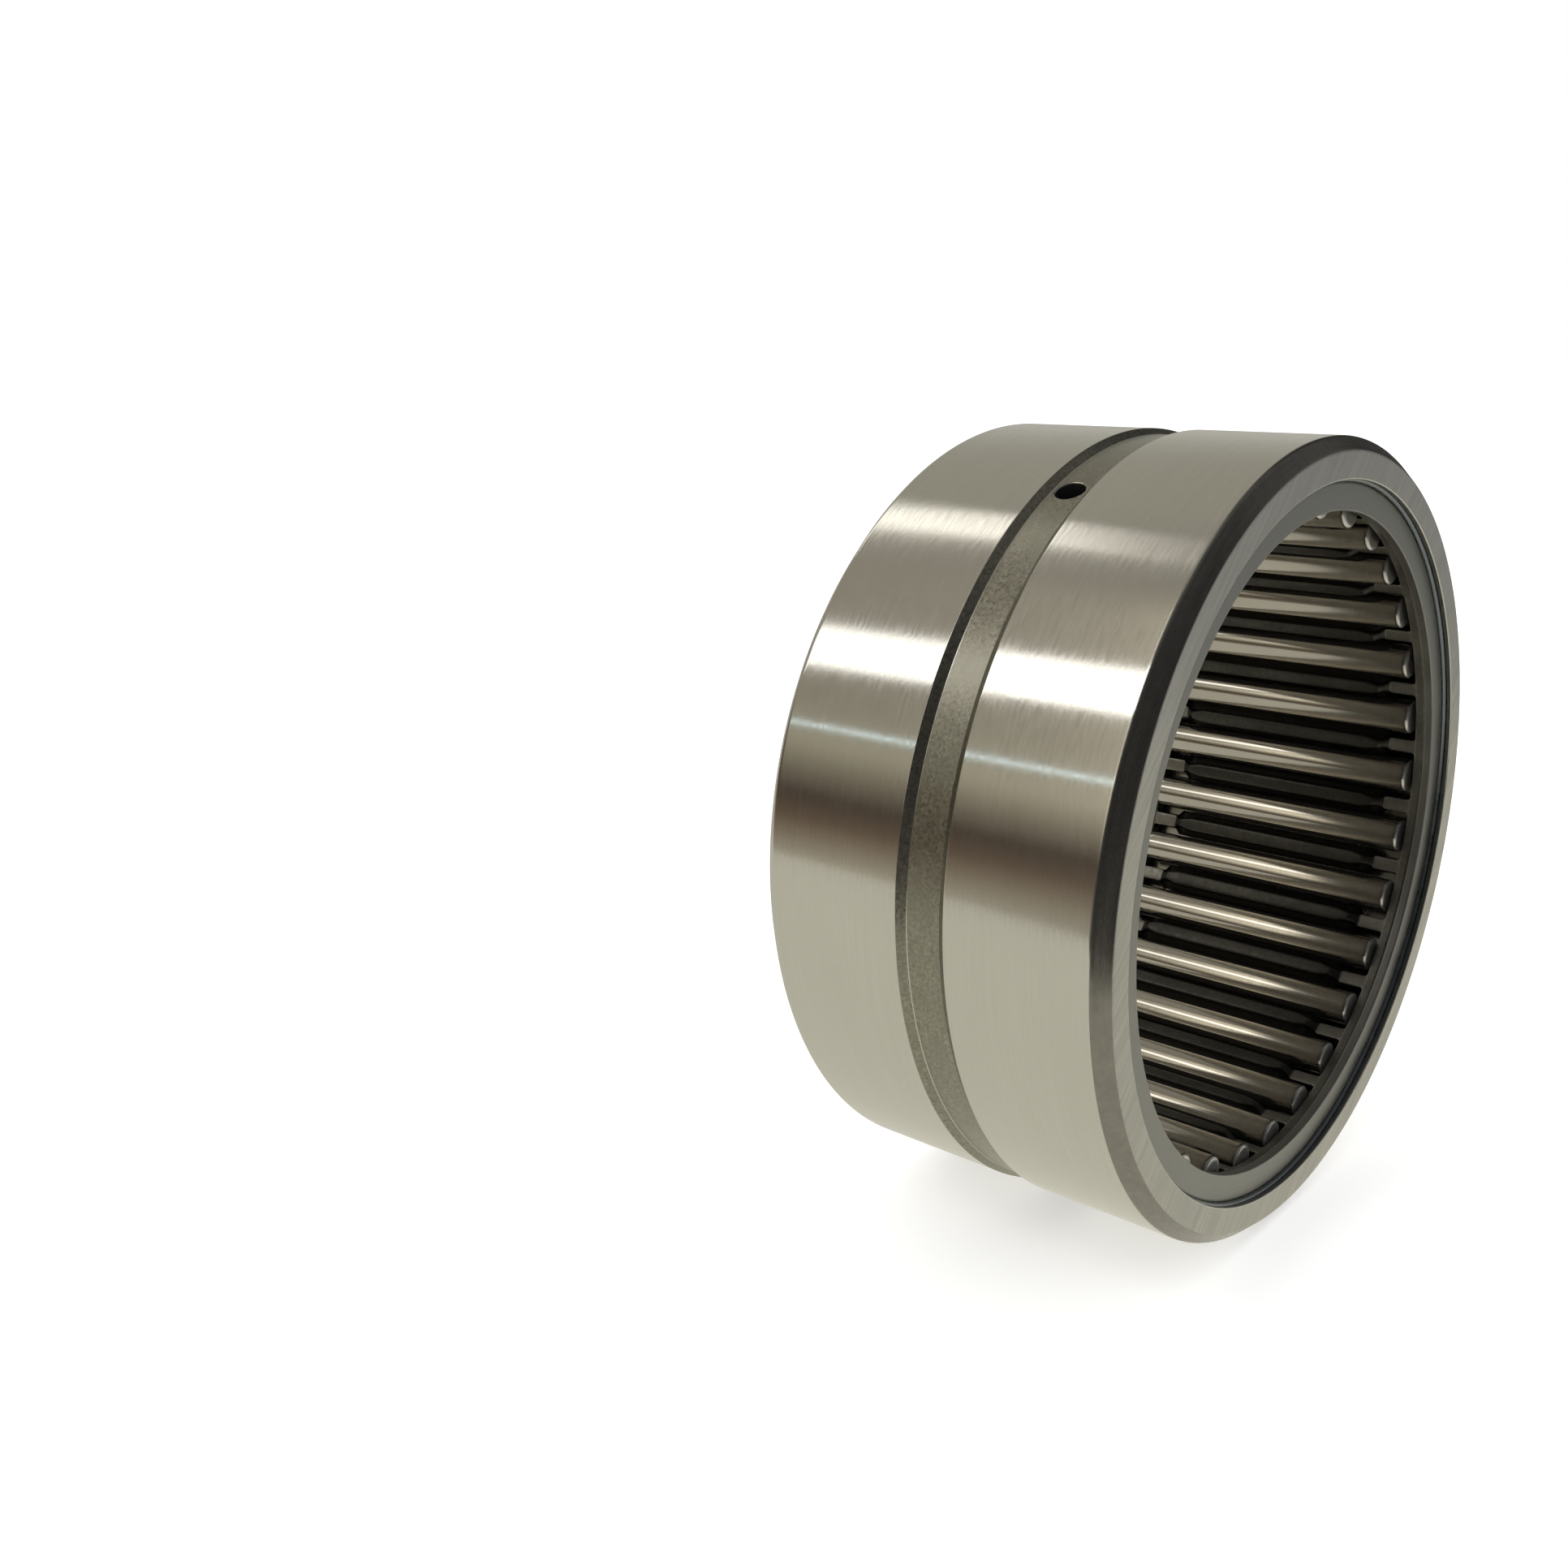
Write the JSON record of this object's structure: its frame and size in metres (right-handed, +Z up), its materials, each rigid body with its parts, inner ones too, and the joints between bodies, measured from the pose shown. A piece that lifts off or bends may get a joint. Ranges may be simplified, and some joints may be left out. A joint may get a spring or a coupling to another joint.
{
  "type": "needle roller bearing",
  "caption": "Machined needle roller bearing without inner ring: grooved outer ring with an oil hole, side rings, snap rings, a cage and long thin rollers.",
  "frame": {"origin": "centre of the bearing, on its axis and midway between its two faces", "axes": "+Y along the bearing's axis from the front face to the rear face, +Z up from the flat it stands on, +X to the right seen from the front"},
  "size_m": [0.0952, 0.0444, 0.0952],
  "materials": {
    "outer_ring": "ground, satin, with a fine grain round the ring",
    "side_ring": "ground flat, satin",
    "snap_ring": "drawn spring wire",
    "cage": "pressed steel, dull satin",
    "roller": "lapped and polished"
  },
  "bodies": {
    "ring_assembly": {"outer_ring": "outer_ring", "side_ring_front": "side_ring", "side_ring_rear": "side_ring", "snap_ring_front": "snap_ring", "snap_ring_rear": "snap_ring"},
    "cage": {"cage": "cage"},
    "roller_01": {"roller_01": "roller"},
    "roller_02": {"roller_02": "roller"},
    "roller_03": {"roller_03": "roller"},
    "roller_04": {"roller_04": "roller"},
    "roller_05": {"roller_05": "roller"},
    "roller_06": {"roller_06": "roller"},
    "roller_07": {"roller_07": "roller"},
    "roller_08": {"roller_08": "roller"},
    "roller_09": {"roller_09": "roller"},
    "roller_10": {"roller_10": "roller"},
    "roller_11": {"roller_11": "roller"},
    "roller_12": {"roller_12": "roller"},
    "roller_13": {"roller_13": "roller"},
    "roller_14": {"roller_14": "roller"},
    "roller_15": {"roller_15": "roller"},
    "roller_16": {"roller_16": "roller"},
    "roller_17": {"roller_17": "roller"},
    "roller_18": {"roller_18": "roller"},
    "roller_19": {"roller_19": "roller"},
    "roller_20": {"roller_20": "roller"},
    "roller_21": {"roller_21": "roller"},
    "roller_22": {"roller_22": "roller"},
    "roller_23": {"roller_23": "roller"},
    "roller_24": {"roller_24": "roller"},
    "roller_25": {"roller_25": "roller"},
    "roller_26": {"roller_26": "roller"},
    "roller_27": {"roller_27": "roller"},
    "roller_28": {"roller_28": "roller"},
    "roller_29": {"roller_29": "roller"},
    "roller_30": {"roller_30": "roller"}
  },
  "joints": [
    {"name": "cage_spin", "type": "hinge", "parent": "ring_assembly", "child": "cage", "pos_m": [0, 0, 0], "axis": [0, 1, 0], "continuous": true},
    {"name": "roller_01_spin", "type": "hinge", "parent": "cage", "child": "roller_01", "pos_m": [0.04035, 0, 0], "axis": [0, 1, 0], "continuous": true},
    {"name": "roller_02_spin", "type": "hinge", "parent": "cage", "child": "roller_02", "pos_m": [0.03947, 0, 0.00839], "axis": [0, 1, 0], "continuous": true},
    {"name": "roller_03_spin", "type": "hinge", "parent": "cage", "child": "roller_03", "pos_m": [0.03686, 0, 0.01641], "axis": [0, 1, 0], "continuous": true},
    {"name": "roller_04_spin", "type": "hinge", "parent": "cage", "child": "roller_04", "pos_m": [0.03264, 0, 0.02372], "axis": [0, 1, 0], "continuous": true},
    {"name": "roller_05_spin", "type": "hinge", "parent": "cage", "child": "roller_05", "pos_m": [0.027, 0, 0.02999], "axis": [0, 1, 0], "continuous": true},
    {"name": "roller_06_spin", "type": "hinge", "parent": "cage", "child": "roller_06", "pos_m": [0.02017, 0, 0.03494], "axis": [0, 1, 0], "continuous": true},
    {"name": "roller_07_spin", "type": "hinge", "parent": "cage", "child": "roller_07", "pos_m": [0.01247, 0, 0.03838], "axis": [0, 1, 0], "continuous": true},
    {"name": "roller_08_spin", "type": "hinge", "parent": "cage", "child": "roller_08", "pos_m": [0.00422, 0, 0.04013], "axis": [0, 1, 0], "continuous": true},
    {"name": "roller_09_spin", "type": "hinge", "parent": "cage", "child": "roller_09", "pos_m": [-0.00422, 0, 0.04013], "axis": [0, 1, 0], "continuous": true},
    {"name": "roller_10_spin", "type": "hinge", "parent": "cage", "child": "roller_10", "pos_m": [-0.01247, 0, 0.03838], "axis": [0, 1, 0], "continuous": true},
    {"name": "roller_11_spin", "type": "hinge", "parent": "cage", "child": "roller_11", "pos_m": [-0.02017, 0, 0.03494], "axis": [0, 1, 0], "continuous": true},
    {"name": "roller_12_spin", "type": "hinge", "parent": "cage", "child": "roller_12", "pos_m": [-0.027, 0, 0.02999], "axis": [0, 1, 0], "continuous": true},
    {"name": "roller_13_spin", "type": "hinge", "parent": "cage", "child": "roller_13", "pos_m": [-0.03264, 0, 0.02372], "axis": [0, 1, 0], "continuous": true},
    {"name": "roller_14_spin", "type": "hinge", "parent": "cage", "child": "roller_14", "pos_m": [-0.03686, 0, 0.01641], "axis": [0, 1, 0], "continuous": true},
    {"name": "roller_15_spin", "type": "hinge", "parent": "cage", "child": "roller_15", "pos_m": [-0.03947, 0, 0.00839], "axis": [0, 1, 0], "continuous": true},
    {"name": "roller_16_spin", "type": "hinge", "parent": "cage", "child": "roller_16", "pos_m": [-0.04035, 0, 0], "axis": [0, 1, 0], "continuous": true},
    {"name": "roller_17_spin", "type": "hinge", "parent": "cage", "child": "roller_17", "pos_m": [-0.03947, 0, -0.00839], "axis": [0, 1, 0], "continuous": true},
    {"name": "roller_18_spin", "type": "hinge", "parent": "cage", "child": "roller_18", "pos_m": [-0.03686, 0, -0.01641], "axis": [0, 1, 0], "continuous": true},
    {"name": "roller_19_spin", "type": "hinge", "parent": "cage", "child": "roller_19", "pos_m": [-0.03264, 0, -0.02372], "axis": [0, 1, 0], "continuous": true},
    {"name": "roller_20_spin", "type": "hinge", "parent": "cage", "child": "roller_20", "pos_m": [-0.027, 0, -0.02999], "axis": [0, 1, 0], "continuous": true},
    {"name": "roller_21_spin", "type": "hinge", "parent": "cage", "child": "roller_21", "pos_m": [-0.02017, 0, -0.03494], "axis": [0, 1, 0], "continuous": true},
    {"name": "roller_22_spin", "type": "hinge", "parent": "cage", "child": "roller_22", "pos_m": [-0.01247, 0, -0.03838], "axis": [0, 1, 0], "continuous": true},
    {"name": "roller_23_spin", "type": "hinge", "parent": "cage", "child": "roller_23", "pos_m": [-0.00422, 0, -0.04013], "axis": [0, 1, 0], "continuous": true},
    {"name": "roller_24_spin", "type": "hinge", "parent": "cage", "child": "roller_24", "pos_m": [0.00422, 0, -0.04013], "axis": [0, 1, 0], "continuous": true},
    {"name": "roller_25_spin", "type": "hinge", "parent": "cage", "child": "roller_25", "pos_m": [0.01247, 0, -0.03838], "axis": [0, 1, 0], "continuous": true},
    {"name": "roller_26_spin", "type": "hinge", "parent": "cage", "child": "roller_26", "pos_m": [0.02017, 0, -0.03494], "axis": [0, 1, 0], "continuous": true},
    {"name": "roller_27_spin", "type": "hinge", "parent": "cage", "child": "roller_27", "pos_m": [0.027, 0, -0.02999], "axis": [0, 1, 0], "continuous": true},
    {"name": "roller_28_spin", "type": "hinge", "parent": "cage", "child": "roller_28", "pos_m": [0.03264, 0, -0.02372], "axis": [0, 1, 0], "continuous": true},
    {"name": "roller_29_spin", "type": "hinge", "parent": "cage", "child": "roller_29", "pos_m": [0.03686, 0, -0.01641], "axis": [0, 1, 0], "continuous": true},
    {"name": "roller_30_spin", "type": "hinge", "parent": "cage", "child": "roller_30", "pos_m": [0.03947, 0, -0.00839], "axis": [0, 1, 0], "continuous": true}
  ],
  "couplings": [
    {"joint": "roller_01_spin", "follows": "cage_spin", "ratio": -18.933},
    {"joint": "roller_02_spin", "follows": "cage_spin", "ratio": -18.933},
    {"joint": "roller_03_spin", "follows": "cage_spin", "ratio": -18.933},
    {"joint": "roller_04_spin", "follows": "cage_spin", "ratio": -18.933},
    {"joint": "roller_05_spin", "follows": "cage_spin", "ratio": -18.933},
    {"joint": "roller_06_spin", "follows": "cage_spin", "ratio": -18.933},
    {"joint": "roller_07_spin", "follows": "cage_spin", "ratio": -18.933},
    {"joint": "roller_08_spin", "follows": "cage_spin", "ratio": -18.933},
    {"joint": "roller_09_spin", "follows": "cage_spin", "ratio": -18.933},
    {"joint": "roller_10_spin", "follows": "cage_spin", "ratio": -18.933},
    {"joint": "roller_11_spin", "follows": "cage_spin", "ratio": -18.933},
    {"joint": "roller_12_spin", "follows": "cage_spin", "ratio": -18.933},
    {"joint": "roller_13_spin", "follows": "cage_spin", "ratio": -18.933},
    {"joint": "roller_14_spin", "follows": "cage_spin", "ratio": -18.933},
    {"joint": "roller_15_spin", "follows": "cage_spin", "ratio": -18.933},
    {"joint": "roller_16_spin", "follows": "cage_spin", "ratio": -18.933},
    {"joint": "roller_17_spin", "follows": "cage_spin", "ratio": -18.933},
    {"joint": "roller_18_spin", "follows": "cage_spin", "ratio": -18.933},
    {"joint": "roller_19_spin", "follows": "cage_spin", "ratio": -18.933},
    {"joint": "roller_20_spin", "follows": "cage_spin", "ratio": -18.933},
    {"joint": "roller_21_spin", "follows": "cage_spin", "ratio": -18.933},
    {"joint": "roller_22_spin", "follows": "cage_spin", "ratio": -18.933},
    {"joint": "roller_23_spin", "follows": "cage_spin", "ratio": -18.933},
    {"joint": "roller_24_spin", "follows": "cage_spin", "ratio": -18.933},
    {"joint": "roller_25_spin", "follows": "cage_spin", "ratio": -18.933},
    {"joint": "roller_26_spin", "follows": "cage_spin", "ratio": -18.933},
    {"joint": "roller_27_spin", "follows": "cage_spin", "ratio": -18.933},
    {"joint": "roller_28_spin", "follows": "cage_spin", "ratio": -18.933},
    {"joint": "roller_29_spin", "follows": "cage_spin", "ratio": -18.933},
    {"joint": "roller_30_spin", "follows": "cage_spin", "ratio": -18.933}
  ]
}
